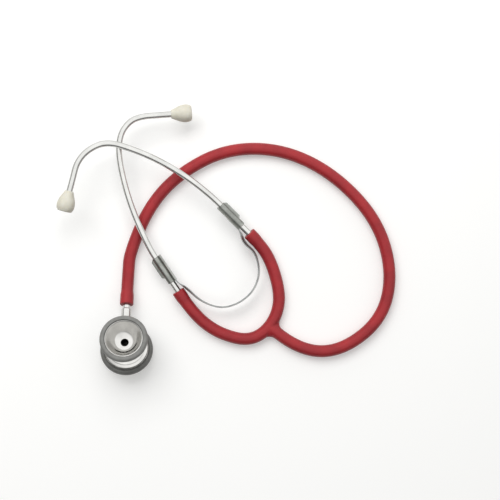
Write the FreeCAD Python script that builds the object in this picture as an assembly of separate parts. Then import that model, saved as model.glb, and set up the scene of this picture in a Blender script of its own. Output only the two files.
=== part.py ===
import FreeCAD, Part
import math
import os

from FreeCAD import Vector

# A dual-head stethoscope lying on a table, in millimetres. +Z is up, +Y runs along the object from
# the chest piece towards the ear tips, and the table is z = 0.
os.makedirs("parts", exist_ok=True)

# Soft tubing: one bore and one outside size for the long tube and for both branches.
TUBE_OUTER_R = 5.1
TUBE_BORE_R = 2.3
LIE_HEIGHT = TUBE_OUTER_R
ARC_SHARE = 0.45
SLEEVE_OUTER_R = 5.7
SOCKET_OUTER_R = 5.45
SLEEVE_TAPER = 2.0

# Ear tubes: bent chromed tube.
EAR_OUTER_R = 2.6
EAR_BORE_R = 1.9
SOCKET_DEPTH = 8.0
SOCKET_GRIP = 0.02
SOCKET_MOUTH_HEIGHT = 9.0

# Chest piece, measured on its own axis from the rest face of the diaphragm ring.
HEAD_TILT = math.radians(22.5)
HEAD_X = -27.9
HEAD_Y = -93.5
HEAD_HEIGHT = 34.0
RIM_OUTER_R = 22.1
RIM_HEIGHT = 6.2
RIM_WIDTH = 5.1
RIM_LIP_R = RIM_OUTER_R - RIM_WIDTH
RIM_LIP_THICKNESS = 1.2
RIM_EDGE = 1.4
RIM_GAP = 0.25
THREAD_WALL = 3.2
THREAD_R = RIM_OUTER_R - THREAD_WALL
THREAD_CLEARANCE = 0.05
DIAPHRAGM_THICKNESS = 0.35
CHAMBER_DEPTH = 2.6
FLANGE_SETBACK = 0.7
FLANGE_OUTER_R = THREAD_R - FLANGE_SETBACK
FLANGE_TOP = 10.2
WAIST_R = 12.0
STEM_LEVEL = 17.5
CUP_FLOOR_LEVEL = 22.0
CUP_FLOOR_R = 4.6
BELL_PORT_R = 3.1
DISC_PORT_R = 1.8
BELL_RING_OUTER_R = 19.9
BELL_RING_WIDTH = 3.8
BELL_RING_INNER_R = BELL_RING_OUTER_R - BELL_RING_WIDTH
BELL_RING_GRIP = 2.3
BELL_RIM_R = BELL_RING_OUTER_R - BELL_RING_GRIP
BELL_RIM_WIDTH = 2.7
CUP_MOUTH_R = BELL_RIM_R - BELL_RIM_WIDTH
BELL_RIM_DROP = 4.4
BELL_RIM_LEVEL = HEAD_HEIGHT - BELL_RIM_DROP
BELL_RING_HEIGHT = 4.6
BELL_RING_EDGE = 1.3
BELL_LIP = 0.7
FLANGE_STEP = 0.8
CUP_STEPS = 8

# Stem: spigot turning in the head, shoulder, neck and the barb in the tube.
SPIGOT_R = 3.2
SPIGOT_CLEARANCE = 0.05
SPIGOT_TAIL = 6.0
SPIGOT_END_GAP = 0.3
BOSS_R = 5.6
BOSS_END = 17.0
SHOULDER_GAP = 0.3
SHOULDER_R = 4.1
SHOULDER_END = 30.6
TUBE_END = 34.9
BARB_LENGTH = 8.0
BARB_R = 2.8
BARB_TAPER = 2.0
STEM_BORE_R = 1.4
STEM_BORE_PAST = 2.0
STEM_PORT_R = 1.2
SEAL_AT = 13.6
SEAL_SECTION_R = 0.5
SEAL_CLEARANCE = 0.04
DETENT_AT = 8.0
DETENT_BALL_R = 1.2
DETENT_PLAY = 0.06
DETENT_DEPTH = 0.6
DETENT_WIRE_R = 0.16
DETENT_TURNS = 4
DETENT_SCREW_LENGTH = 1.5
DETENT_SCREW_SINK = 0.1
DETENT_SCREW_HEX_R = 0.6
SCREW_GRIP = 0.05

# Ear tip and the ferrule that holds it.
TIP_LENGTH = 17.4
TIP_R = 7.4
TIP_NECK_R = 3.3
TIP_FACE_R = 4.6
TIP_HOLE_R = 1.5
TIP_LIP = 1.5
FERRULE_OUTER_R = 3.2
FERRULE_LENGTH = 6.0
FERRULE_CLEARANCE = 0.05
FERRULE_RIB = 0.15
FERRULE_RIBS = 4
TUBE_IN_TIP = 8.0
TIP_ROOM = 0.3
TIP_CONTOUR = [
    (TIP_NECK_R, 0),
    (4.9, 0.2),
    (6.6, 0.42),
    (TIP_R, 0.66),
    (6.9, 0.88),
    (TIP_FACE_R, 1),
]

# Leaf spring and the clips crimped over the ear tubes.
SPRING_THICKNESS = 0.8
SPRING_WIDTH = 8.0
SPRING_LEVEL = 10.9
LEAF_ARC_SHARE = 0.49
CLIP_WALL = 0.7
CLIP_FIT = 0.02
CLIP_START = 9.0
CLIP_LENGTH = 25.0
PINCH_START = 15.0
PINCH_LENGTH = 18.5
PINCH_REACH = 5.2
PINCH_THICKNESS = 1.5
PINCH_CORNER = 1.6

# Moulded Y of the tubing.
CROTCH_FILLET = 6.0
WEB_HALF_HEIGHT = 2.5
Y_BEND_SHARE = 0.97
Y_ARM_SEARCH = 20.0

# Places of the route's corners, chosen by hand from the way the tubing lies. Each is (x, y, z).
MAIN_START = Vector(101.3, -80.4, LIE_HEIGHT)
MAIN_ROUTE = [
    Vector(119.3, -94.0, LIE_HEIGHT),
    Vector(153.2, -94.2, LIE_HEIGHT),
    Vector(187.9, -67.1, LIE_HEIGHT),
    Vector(196.5, -26.6, LIE_HEIGHT),
    Vector(182.8, 18.3, LIE_HEIGHT),
    Vector(145.5, 56.9, LIE_HEIGHT),
    Vector(102.0, 77.2, LIE_HEIGHT),
    Vector(55.4, 77.0, LIE_HEIGHT),
    Vector(15.6, 56.0, LIE_HEIGHT),
    Vector(-9.8, 27.9, LIE_HEIGHT),
    Vector(-25.9, -11.4, LIE_HEIGHT),
]
LEFT_MOUTH = Vector(15.2, -43.1, SOCKET_MOUTH_HEIGHT)
LEFT_FIRST_RUN = 20.6
LEFT_BRANCH = [
    Vector(44.0, -76.0, LIE_HEIGHT),
    Vector(60.0, -82.8, LIE_HEIGHT),
    Vector(74.0, -82.8, LIE_HEIGHT),
]
RIGHT_MOUTH = Vector(75.1, 5.6, SOCKET_MOUTH_HEIGHT)
RIGHT_FIRST_RUN = 16.0
RIGHT_BRANCH = [
    Vector(95.1, -21.8, LIE_HEIGHT),
    Vector(101.3, -43.0, LIE_HEIGHT),
    Vector(100.7, -56.0, LIE_HEIGHT),
]

LEFT_EAR = [
    Vector(-8.6, -7.3, 13.1),
    Vector(-30.3, 44.9, 18.5),
    Vector(-36.9, 101.1, 22.8),
    Vector(9.9, 104.8, 19.2),
]
RIGHT_EAR = [
    Vector(37.0, 43.1, 18.6),
    Vector(-2.3, 68.2, 26.5),
    Vector(-60.0, 87.7, 34.8),
    Vector(-73.0, 40.2, 32.6),
]
EAR_BEND_R = 27.0
EAR_FIRST_BEND_R = 90.0
EAR_ARC_SHARE = 0.45

LEAF_ROUTE = [
    (7.3, -24.3),
    (15.1, -36.0),
    (22.7, -40.6),
    (35.2, -52.5),
    (54.7, -58.5),
    (75.2, -48.5),
    (84.7, -30.5),
    (81.2, -11.0),
    (70.7, -2.5),
    (67.8, 7.2),
    (56.5, 18.3),
]


def unit(vector):
    """The direction of a vector."""
    return Vector(vector).normalize()


def round_path(points, share=ARC_SHARE, label=None, radii=None):
    """Straight runs joined by tangent arcs, each of a share of the shorter run or of a given radius."""
    edges = []
    here = points[0]
    for index in range(1, len(points) - 1):
        corner = points[index]
        back = points[index - 1] - corner
        ahead = points[index + 1] - corner
        half_turn = (math.pi - back.getAngle(ahead)) / 2
        reach = share * min(back.Length, ahead.Length)
        radius = reach / math.tan(half_turn)
        if radii and radii.get(index):
            radius = radii[index]
            reach = radius * math.tan(half_turn)
        if label:
            turn = math.degrees(2 * half_turn)
            print(f"{label}: corner {index} turns {turn:.1f} deg, radius {radius:.1f} mm")
        start = corner + unit(back) * reach
        end = corner + unit(ahead) * reach
        inward = unit(unit(back) + unit(ahead))
        middle = corner + inward * (radius / math.cos(half_turn) - radius)
        edges.append(Part.LineSegment(here, start).toShape())
        edges.append(Part.Arc(start, middle, end).toShape())
        here = end
    edges.append(Part.LineSegment(here, points[-1]).toShape())
    return Part.Wire(edges)


def sweep_round(path, start, ahead, radius):
    """A round bar of one radius along a path."""
    ring = Part.Wire([Part.makeCircle(radius, start, ahead)])
    return path.makePipeShell([ring], True, True)


def turned(profile, origin, axis):
    """A solid of revolution: profile is (radius, height) corners about axis through origin."""
    points = [Vector(radius, 0, height) for radius, height in profile]
    face = Part.Face(Part.makePolygon(points + [points[0]]))
    solid = face.revolve(Vector(0, 0, 0), Vector(0, 0, 1), 360)
    solid.Placement = FreeCAD.Placement(origin, FreeCAD.Rotation(Vector(0, 0, 1), axis))
    return solid


def rod(radius, origin, axis, length):
    """A cylinder from origin along axis."""
    return Part.makeCylinder(radius, length, origin, axis)


def save(name, shape):
    """Write one sub-part and print its volume."""
    shape.exportStep(f"parts/{name}.step")
    print(f"{name}: {len(shape.Solids)} solid, volume {shape.Volume:.0f} mm3, valid {shape.isValid()}")


def tubing(name, points, sleeves, label):
    """A soft tube along a route, with its ends stretched over what they grip.

    sleeves lists (end point, direction into the tube, grip length, grip radius, outer radius).
    """
    path = round_path(points, label=label)
    ahead = points[1] - points[0]
    outer = sweep_round(path, points[0], ahead, TUBE_OUTER_R)
    bore = sweep_round(path, points[0], ahead, TUBE_BORE_R)
    for end, inward, grip, grip_r, outer_r in sleeves:
        profile = [(0, 0), (outer_r, 0), (outer_r, grip - SLEEVE_TAPER), (TUBE_OUTER_R, grip), (0, grip)]
        stretched = turned(profile, end, inward)
        outer = outer.fuse(stretched)
        bore = bore.fuse(rod(grip_r, end, inward, grip))
    tube = outer.cut(bore).removeSplitter()
    section = math.pi * (TUBE_OUTER_R**2 - TUBE_BORE_R**2)
    filled = tube.Volume / (section * path.Length)
    print(f"{name}: path {path.Length:.1f} mm, volume over section times length {filled:.3f}")
    save(name, tube)
    return path


# The head's own frame: its axis, the stem's direction and the middle of its rest face.
HEAD_AXIS = Vector(0, math.sin(HEAD_TILT), math.cos(HEAD_TILT))
STEM_AXIS = Vector(0, math.cos(HEAD_TILT), -math.sin(HEAD_TILT))
HEAD_ORIGIN = Vector(HEAD_X, HEAD_Y, (RIM_OUTER_R - RIM_EDGE) * math.sin(HEAD_TILT))
STEM_ORIGIN = HEAD_ORIGIN + HEAD_AXIS * STEM_LEVEL
SIDE = Vector(1, 0, 0)


def at_stem(distance):
    """The point of the stem's axis at a distance from the head's axis."""
    return STEM_ORIGIN + STEM_AXIS * distance


# The long tube runs from the Y to the barb, where it drops along the stem's own line to the table.
barb_mouth = at_stem(TUBE_END)
touch_down = at_stem((STEM_ORIGIN.z - LIE_HEIGHT) / math.sin(HEAD_TILT))
main_points = [MAIN_START] + MAIN_ROUTE + [touch_down, barb_mouth]
barb_grip = (barb_mouth, STEM_AXIS, BARB_LENGTH, BARB_R, SLEEVE_OUTER_R)
tubing("main_tube", main_points, [barb_grip], "main tube")

# Each branch starts at the mouth where its ear tube enters, in line with that tube.
left_into = unit(LEFT_MOUTH - LEFT_EAR[0])
right_into = unit(RIGHT_MOUTH - RIGHT_EAR[0])
left_points = [LEFT_MOUTH, LEFT_MOUTH + left_into * LEFT_FIRST_RUN] + LEFT_BRANCH
right_points = [RIGHT_MOUTH, RIGHT_MOUTH + right_into * RIGHT_FIRST_RUN] + RIGHT_BRANCH
socket_r = EAR_OUTER_R + SOCKET_GRIP
left_socket = (LEFT_MOUTH, left_into, SOCKET_DEPTH, socket_r, SOCKET_OUTER_R)
right_socket = (RIGHT_MOUTH, right_into, SOCKET_DEPTH, socket_r, SOCKET_OUTER_R)
tubing("branch_tube_left", left_points, [left_socket], "left branch")
tubing("branch_tube_right", right_points, [right_socket], "right branch")


def crossing_point(first, first_direction, second, second_direction):
    """Where two level lines cross, seen from above."""
    gap = second - first
    determinant = first_direction.x * second_direction.y - first_direction.y * second_direction.x
    along = (gap.x * second_direction.y - gap.y * second_direction.x) / determinant
    return first + first_direction * along


def level_bar(path, start, ahead, half_width, half_height):
    """A bar of rectangular section along a level path."""
    across = unit(ahead.cross(Vector(0, 0, 1))) * half_width
    rise = Vector(0, 0, half_height)
    low_side = [start - across - rise, start + across - rise]
    high_side = [start + across + rise, start - across + rise]
    section = low_side + high_side
    return path.makePipeShell([Part.makePolygon(section + section[:1])], True, False)


def moulded_y():
    """The Y: a bent arm between the branches, a straight arm to the long tube, a web in the crotches."""
    left_end = left_points[-1]
    right_end = right_points[-1]
    left_out = unit(left_end - left_points[-2])
    right_out = unit(right_end - right_points[-2])
    corner = crossing_point(left_end, left_out, right_end, right_out)
    bend = round_path([left_end, corner, right_end], share=Y_BEND_SHARE, label="moulded y")
    arm_axis = unit(MAIN_START - MAIN_ROUTE[0])
    sight = Part.LineSegment(MAIN_START, MAIN_START + arm_axis * Y_ARM_SEARCH).toShape()
    root = bend.distToShape(sight)[1][0][0]
    arm = Part.Wire([Part.LineSegment(MAIN_START, root).toShape()])
    web_half_width = math.sqrt(TUBE_OUTER_R**2 - WEB_HALF_HEIGHT**2)
    bars = level_bar(bend, left_end, left_out, web_half_width, WEB_HALF_HEIGHT)
    bars = bars.fuse(level_bar(arm, MAIN_START, arm_axis, web_half_width, WEB_HALF_HEIGHT))
    outline = Part.Face(bars.slice(Vector(0, 0, 1), LIE_HEIGHT - WEB_HALF_HEIGHT / 2))
    closed = outline.makeOffset2D(CROTCH_FILLET).makeOffset2D(-CROTCH_FILLET)
    web = closed.extrude(Vector(0, 0, 2 * WEB_HALF_HEIGHT))
    web.translate(Vector(0, 0, -WEB_HALF_HEIGHT / 2))
    outer = sweep_round(bend, left_end, left_out, TUBE_OUTER_R)
    outer = outer.fuse(rod(TUBE_OUTER_R, MAIN_START, arm_axis, arm.Length))
    outer = outer.fuse(web)
    bore = sweep_round(bend, left_end, left_out, TUBE_BORE_R)
    bore = bore.fuse(rod(TUBE_BORE_R, MAIN_START, arm_axis, arm.Length))
    return outer.cut(bore).removeSplitter()


save("y_junction", moulded_y())


def ear_side(name, mouth, into, corners, outward_turn):
    """One ear tube with its clip, ferrule and tip.

    outward_turn is 1 where the tube's outer side is on its left, and -1 where it is on its right.
    """
    foot = mouth + into * SOCKET_DEPTH
    outwards = unit(corners[-1] - corners[-2])
    tip_mouth = corners[-1]
    points = [foot] + corners[:-1] + [tip_mouth + outwards * TUBE_IN_TIP]
    bend_at = len(points) - 2
    radii = {1: EAR_FIRST_BEND_R, bend_at: EAR_BEND_R}
    path = round_path(points, share=EAR_ARC_SHARE, label=f"{name} ear tube", radii=radii)
    away = into * -1
    tube = sweep_round(path, foot, away, EAR_OUTER_R).cut(sweep_round(path, foot, away, EAR_BORE_R))
    save(f"ear_tube_{name}", tube)
    print(f"{name} ear tube path {path.Length:.1f} mm")

    ferrule_from = tip_mouth + outwards * (TUBE_IN_TIP - FERRULE_LENGTH)
    ferrule = rod(FERRULE_OUTER_R - FERRULE_RIB, ferrule_from, outwards, FERRULE_LENGTH)
    rib_step = FERRULE_LENGTH / FERRULE_RIBS
    for rib in range(FERRULE_RIBS):
        rib_from = ferrule_from + outwards * (rib * rib_step)
        ferrule = ferrule.fuse(rod(FERRULE_OUTER_R, rib_from, outwards, rib_step / 2))
    ferrule = ferrule.cut(rod(EAR_OUTER_R + CLIP_FIT, ferrule_from, outwards, FERRULE_LENGTH))
    save(f"ear_ferrule_{name}", ferrule)
    save(f"ear_tip_{name}", ear_tip(tip_mouth, outwards))

    side = unit(Vector(0, 0, 1).cross(away)) * outward_turn
    save(f"spring_clip_{name}", spring_clip(mouth, away, side))


def ear_tip(mouth, outwards):
    """A soft olive: narrow at the tube, widest near its far end, bored for the ferrule and the sound."""
    contour = Part.BSplineCurve()
    contour.interpolate(
        [Vector(radius, 0, height * TIP_LENGTH) for radius, height in TIP_CONTOUR],
        InitialTangent=Vector(1, 0, 1.6),
        FinalTangent=Vector(-1, 0, 0),
    )
    outline = [
        Part.LineSegment(Vector(0, 0, 0), Vector(TIP_NECK_R, 0, 0)).toShape(),
        contour.toShape(),
        Part.LineSegment(Vector(TIP_FACE_R, 0, TIP_LENGTH), Vector(0, 0, TIP_LENGTH)).toShape(),
        Part.LineSegment(Vector(0, 0, TIP_LENGTH), Vector(0, 0, 0)).toShape(),
    ]
    body = Part.Face(Part.Wire(outline)).revolve(Vector(0, 0, 0), Vector(0, 0, 1), 360)
    upward = Vector(0, 0, 1)
    body = body.cut(rod(TIP_HOLE_R, Vector(0, 0, 0), upward, TIP_LENGTH))
    body = body.cut(rod(EAR_OUTER_R + FERRULE_CLEARANCE, Vector(0, 0, 0), upward, TIP_LIP))
    room = TUBE_IN_TIP - TIP_LIP + TIP_ROOM
    body = body.cut(rod(FERRULE_OUTER_R + FERRULE_CLEARANCE, Vector(0, 0, TIP_LIP), upward, room))
    body.Placement = FreeCAD.Placement(mouth, FreeCAD.Rotation(upward, outwards))
    return body


def spring_clip(mouth, away, side):
    """A sheet-metal sleeve over the ear tube, its edges pinched together on the outer side."""
    start = mouth + away * CLIP_START
    inner_r = EAR_OUTER_R + CLIP_FIT
    outer_r = inner_r + CLIP_WALL
    upward = unit(away.cross(side))
    sleeve = rod(outer_r, start, away, CLIP_LENGTH)
    corner = mouth + away * PINCH_START - upward * (PINCH_THICKNESS / 2)
    far = away * PINCH_LENGTH
    reach = side * PINCH_REACH
    inset_far = away * PINCH_CORNER
    inset_reach = side * PINCH_CORNER
    outline = [
        corner,
        corner + reach - inset_reach,
        corner + reach + inset_far,
        corner + reach + far - inset_far,
        corner + reach + far - inset_reach,
        corner + far,
    ]
    pinch = Part.Face(Part.makePolygon(outline + outline[:1])).extrude(upward * PINCH_THICKNESS)
    return sleeve.fuse(pinch).cut(rod(inner_r, start, away, CLIP_LENGTH)).removeSplitter()


ear_side("left", LEFT_MOUTH, left_into, LEFT_EAR, 1)
ear_side("right", RIGHT_MOUTH, right_into, RIGHT_EAR, -1)

# The leaf spring: one strip on edge, bowed between the clips, its ends flat against them.
leaf_points = [Vector(x, y, SPRING_LEVEL) for x, y in LEAF_ROUTE]
leaf_path = round_path(leaf_points, share=LEAF_ARC_SHARE)
leaf_ahead = leaf_points[1] - leaf_points[0]
leaf = level_bar(leaf_path, leaf_points[0], leaf_ahead, SPRING_THICKNESS / 2, SPRING_WIDTH / 2)
save("leaf_spring", leaf)


def stem_rod(radius, start, end):
    """A cylinder on the stem's axis between two distances from the head's axis."""
    return rod(radius, at_stem(start), STEM_AXIS, end - start)


def ring_round_stem(major, minor, distance):
    """A round ring about the stem's axis."""
    return Part.makeTorus(major, minor, at_stem(distance), STEM_AXIS)


# The stem: spigot, shoulder, neck and barb in one turned piece, bored, with a side port to the bell.
detent_centre_r = SPIGOT_R - DETENT_DEPTH + DETENT_BALL_R + DETENT_PLAY
barb_end = TUBE_END + BARB_LENGTH
seal_major = SPIGOT_R + SPIGOT_CLEARANCE - SEAL_CLEARANCE - SEAL_SECTION_R
stem = stem_rod(SPIGOT_R, -SPIGOT_TAIL, TUBE_END)
stem = stem.fuse(stem_rod(SHOULDER_R, BOSS_END + SHOULDER_GAP, SHOULDER_END))
stem = stem.fuse(stem_rod(BARB_R - SOCKET_GRIP, TUBE_END, barb_end - BARB_TAPER))
nose_from = at_stem(barb_end - BARB_TAPER)
stem = stem.fuse(Part.makeCone(BARB_R - SOCKET_GRIP, TUBE_BORE_R, BARB_TAPER, nose_from, STEM_AXIS))
stem = stem.cut(stem_rod(STEM_BORE_R, -STEM_BORE_PAST, barb_end))
stem = stem.cut(rod(STEM_PORT_R, STEM_ORIGIN, HEAD_AXIS, 2 * SPIGOT_R))
stem = stem.cut(ring_round_stem(detent_centre_r, DETENT_BALL_R + DETENT_PLAY, DETENT_AT))
groove_floor = seal_major - SEAL_SECTION_R - SEAL_CLEARANCE
groove_half = SEAL_SECTION_R + SEAL_CLEARANCE
groove = stem_rod(2 * SPIGOT_R, SEAL_AT - groove_half, SEAL_AT + groove_half)
groove = groove.cut(stem_rod(groove_floor, SEAL_AT - groove_half, SEAL_AT + groove_half))
stem = stem.cut(groove).removeSplitter()
save("stem", stem)
save("stem_seal", ring_round_stem(seal_major, SEAL_SECTION_R, SEAL_AT))


def head_turned(profile):
    """A solid turned about the head's axis from (radius, height) corners."""
    return turned(profile, HEAD_ORIGIN, HEAD_AXIS)


def bowl(mouth_r, mouth_level, floor_r, floor_level, steps):
    """Corners of a bowl's parabola, from its floor to its mouth."""
    corners = []
    for step in range(steps + 1):
        share = step / steps
        radius = floor_r + (mouth_r - floor_r) * share
        corners.append((radius, floor_level + (mouth_level - floor_level) * share**2))
    return corners


def chest_body():
    """The head: bell cup above, waist with the stem's bore, flange and chamber for the diaphragm."""
    diaphragm_top = RIM_LIP_THICKNESS + DIAPHRAGM_THICKNESS
    seat = diaphragm_top + THREAD_CLEARANCE
    shoulder = RIM_HEIGHT + RIM_GAP
    outer = head_turned(
        [
            (0, seat),
            (THREAD_R - THREAD_CLEARANCE, seat),
            (THREAD_R - THREAD_CLEARANCE, shoulder),
            (FLANGE_OUTER_R, shoulder + FLANGE_STEP),
            (FLANGE_OUTER_R, FLANGE_TOP - FLANGE_STEP),
            (FLANGE_OUTER_R - FLANGE_STEP, FLANGE_TOP),
            (WAIST_R + FLANGE_STEP, FLANGE_TOP + FLANGE_STEP),
            (WAIST_R, STEM_LEVEL - BOSS_R + FLANGE_STEP),
            (WAIST_R, STEM_LEVEL + BOSS_R / 2),
            (BELL_RIM_R - BELL_LIP, BELL_RIM_LEVEL - BELL_LIP),
            (BELL_RIM_R, BELL_RIM_LEVEL),
            (BELL_RIM_R, BELL_RIM_LEVEL + BELL_LIP),
            (BELL_RING_INNER_R, BELL_RIM_LEVEL + 2 * BELL_LIP),
            (BELL_RING_INNER_R, HEAD_HEIGHT - BELL_LIP),
            (CUP_MOUTH_R + BELL_LIP / 2, HEAD_HEIGHT - BELL_LIP / 2),
            (0, HEAD_HEIGHT - BELL_LIP / 2),
        ]
    )
    outer = outer.fuse(stem_rod(BOSS_R, 0, BOSS_END))
    cup = bowl(CUP_MOUTH_R, HEAD_HEIGHT - BELL_LIP, CUP_FLOOR_R, CUP_FLOOR_LEVEL, CUP_STEPS)
    cup = [(0, CUP_FLOOR_LEVEL)] + cup + [(CUP_MOUTH_R, HEAD_HEIGHT), (0, HEAD_HEIGHT)]
    outer = outer.cut(head_turned(cup))
    chamber_top = seat + CHAMBER_DEPTH
    chamber = [(0, seat), (RIM_LIP_R, seat), (DISC_PORT_R, chamber_top), (0, chamber_top)]
    outer = outer.cut(head_turned(chamber))
    outer = outer.cut(rod(BELL_PORT_R, STEM_ORIGIN, HEAD_AXIS, HEAD_HEIGHT - STEM_LEVEL))
    outer = outer.cut(rod(DISC_PORT_R, HEAD_ORIGIN + HEAD_AXIS * seat, HEAD_AXIS, STEM_LEVEL - seat))
    spigot_bore = stem_rod(SPIGOT_R + SPIGOT_CLEARANCE, -SPIGOT_TAIL - SPIGOT_END_GAP, BOSS_END)
    outer = outer.cut(spigot_bore)
    detent_bore = rod(DETENT_BALL_R + DETENT_PLAY, at_stem(DETENT_AT), SIDE, 2 * WAIST_R)
    return outer.cut(detent_bore)


save("chest_body", chest_body())

# The detent: a ball in the stem's groove, a coil spring behind it and a screw that closes the bore.
ball_centre = at_stem(DETENT_AT) + SIDE * detent_centre_r
save("detent_ball", Part.makeSphere(DETENT_BALL_R, ball_centre))
screw_from = math.sqrt(WAIST_R**2 - DETENT_AT**2) - DETENT_SCREW_SINK - DETENT_SCREW_LENGTH
spring_from = detent_centre_r + DETENT_BALL_R + DETENT_PLAY + DETENT_WIRE_R
spring_length = screw_from - DETENT_PLAY - DETENT_WIRE_R - spring_from
coil_r = DETENT_BALL_R - DETENT_WIRE_R - DETENT_PLAY
coil = Part.makeHelix(spring_length / DETENT_TURNS, spring_length, coil_r)
coil_ring = Part.Wire([Part.makeCircle(DETENT_WIRE_R, Vector(coil_r, 0, 0), Vector(0, 1, 0))])
coil_solid = Part.Wire(coil.Edges).makePipeShell([coil_ring], True, True)
to_side = FreeCAD.Rotation(Vector(0, 0, 1), SIDE)
coil_solid.Placement = FreeCAD.Placement(at_stem(DETENT_AT) + SIDE * spring_from, to_side)
save("detent_spring", coil_solid)
screw_base = at_stem(DETENT_AT) + SIDE * screw_from
screw = rod(DETENT_BALL_R + SCREW_GRIP, screw_base, SIDE, DETENT_SCREW_LENGTH)
hexagon = [
    screw_base
    + SIDE * (DETENT_SCREW_LENGTH / 2)
    + HEAD_AXIS * (DETENT_SCREW_HEX_R * math.cos(math.radians(60 * corner)))
    + STEM_AXIS * (DETENT_SCREW_HEX_R * math.sin(math.radians(60 * corner)))
    for corner in range(7)
]
save("detent_screw", screw.cut(Part.Face(Part.makePolygon(hexagon)).extrude(SIDE * DETENT_SCREW_LENGTH)))

# The soft ring on the bell's rim and the threaded ring that holds the diaphragm.
ring_top = HEAD_HEIGHT
ring_base = BELL_RIM_LEVEL - BELL_LIP
bell_ring = head_turned(
    [
        (BELL_RIM_R - BELL_LIP, ring_base),
        (BELL_RING_OUTER_R - BELL_RING_EDGE, ring_base),
        (BELL_RING_OUTER_R, ring_base + BELL_RING_EDGE),
        (BELL_RING_OUTER_R, ring_top - BELL_RING_EDGE),
        (BELL_RING_OUTER_R - BELL_RING_EDGE, ring_top),
        (BELL_RING_INNER_R, ring_top),
        (BELL_RING_INNER_R, BELL_RIM_LEVEL + 2 * BELL_LIP),
        (BELL_RIM_R, BELL_RIM_LEVEL + BELL_LIP),
        (BELL_RIM_R, BELL_RIM_LEVEL),
    ]
)
save("bell_ring", bell_ring)
disc_base = HEAD_ORIGIN + HEAD_AXIS * RIM_LIP_THICKNESS
save("diaphragm", rod(THREAD_R - THREAD_CLEARANCE, disc_base, HEAD_AXIS, DIAPHRAGM_THICKNESS))
rim = head_turned(
    [
        (RIM_LIP_R, 0),
        (RIM_OUTER_R - RIM_EDGE, 0),
        (RIM_OUTER_R, RIM_EDGE),
        (RIM_OUTER_R, RIM_HEIGHT - RIM_EDGE),
        (RIM_OUTER_R - RIM_EDGE, RIM_HEIGHT),
        (THREAD_R, RIM_HEIGHT),
        (THREAD_R, RIM_LIP_THICKNESS - THREAD_CLEARANCE),
        (RIM_LIP_R, RIM_LIP_THICKNESS - THREAD_CLEARANCE),
    ]
)
save("diaphragm_ring", rim)
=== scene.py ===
import bmesh
import bpy
import math
import numpy as np
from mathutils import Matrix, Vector


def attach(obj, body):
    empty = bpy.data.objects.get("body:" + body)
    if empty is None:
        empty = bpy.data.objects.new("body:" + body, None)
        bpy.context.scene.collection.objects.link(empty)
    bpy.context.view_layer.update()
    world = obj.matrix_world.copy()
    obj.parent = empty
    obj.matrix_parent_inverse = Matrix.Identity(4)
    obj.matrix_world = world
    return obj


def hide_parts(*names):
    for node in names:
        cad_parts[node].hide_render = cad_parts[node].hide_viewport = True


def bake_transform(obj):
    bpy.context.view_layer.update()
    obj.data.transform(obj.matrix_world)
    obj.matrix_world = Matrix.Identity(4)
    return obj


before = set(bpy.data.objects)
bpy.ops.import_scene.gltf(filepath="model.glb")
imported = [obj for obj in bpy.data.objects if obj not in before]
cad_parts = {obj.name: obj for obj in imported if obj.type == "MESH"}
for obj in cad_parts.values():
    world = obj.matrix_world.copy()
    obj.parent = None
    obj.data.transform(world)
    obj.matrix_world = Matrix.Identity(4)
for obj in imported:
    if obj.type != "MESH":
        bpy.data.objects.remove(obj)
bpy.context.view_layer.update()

# The table: a white laminate top that the stethoscope lies on, lit from the far side by one wide soft
# lamp. The sky is pale overhead and darker low down on the near side, which draws the dark lines in metal,
# and metal sees it brighter than it lights the rest.
TABLE_DROP = 0.0002
TABLE_HALF = 3.0
TABLE_COLOUR = "#E4E4E2"
TABLE_GLOW = 0.27
LAMP_PLACE = (-0.20, 0.62, 0.95)
LAMP_AIM = (0.06, 0.0, 0.0)
LAMP_WIDTH = 1.1
LAMP_DEPTH = 0.7
LAMP_POWER = 9.0
SKY_LIGHT_FROM = (0.15, 0.48, 0.864)
SKY_DARK_BELOW = 0.05
SKY_BRIGHT_ABOVE = 0.66
SKY_DARK = 0.11
SKY_BRIGHT = 0.85
SKY_IN_METAL = 1.2


def linear(code):
    """The linear colour, with an alpha of 1, of an sRGB hex code."""
    parts = np.array([int(code[i : i + 2], 16) for i in (1, 3, 5)]) / 255
    bright = ((parts + 0.055) / 1.055) ** 2.4
    return (*np.where(parts <= 0.04045, parts / 12.92, bright).tolist(), 1.0)


def add_node(tree, kind, inputs=None, **settings):
    """One node with its settings, its inputs filled with values or with other nodes' outputs."""
    made = tree.nodes.new(kind)
    for name, value in settings.items():
        setattr(made, name, value)
    for key, value in (inputs or {}).items():
        if isinstance(value, bpy.types.NodeSocket):
            tree.links.new(value, made.inputs[key])
        else:
            made.inputs[key].default_value = value
    return made


sky = bpy.data.worlds.new("studio_sky")
bpy.context.scene.world = sky
sky.use_nodes = True
tree = sky.node_tree
tree.nodes.clear()
direction = add_node(tree, "ShaderNodeTexCoord")
towards_lamp = add_node(
    tree,
    "ShaderNodeVectorMath",
    {0: direction.outputs["Generated"], 1: SKY_LIGHT_FROM},
    operation="DOT_PRODUCT",
)
level = add_node(
    tree,
    "ShaderNodeMapRange",
    {
        "Value": towards_lamp.outputs["Value"],
        "From Min": SKY_DARK_BELOW,
        "From Max": SKY_BRIGHT_ABOVE,
        "To Min": SKY_DARK,
        "To Max": SKY_BRIGHT,
    },
    interpolation_type="SMOOTHSTEP",
)
seen = add_node(tree, "ShaderNodeLightPath")
in_metal = add_node(
    tree,
    "ShaderNodeMath",
    {0: seen.outputs["Is Glossy Ray"], 1: SKY_IN_METAL, 2: 1.0},
    operation="MULTIPLY_ADD",
)
lit = add_node(
    tree, "ShaderNodeMath", {0: level.outputs["Result"], 1: in_metal.outputs[0]}, operation="MULTIPLY"
)
sky_light = add_node(tree, "ShaderNodeBackground", {"Strength": lit.outputs[0]})
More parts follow.
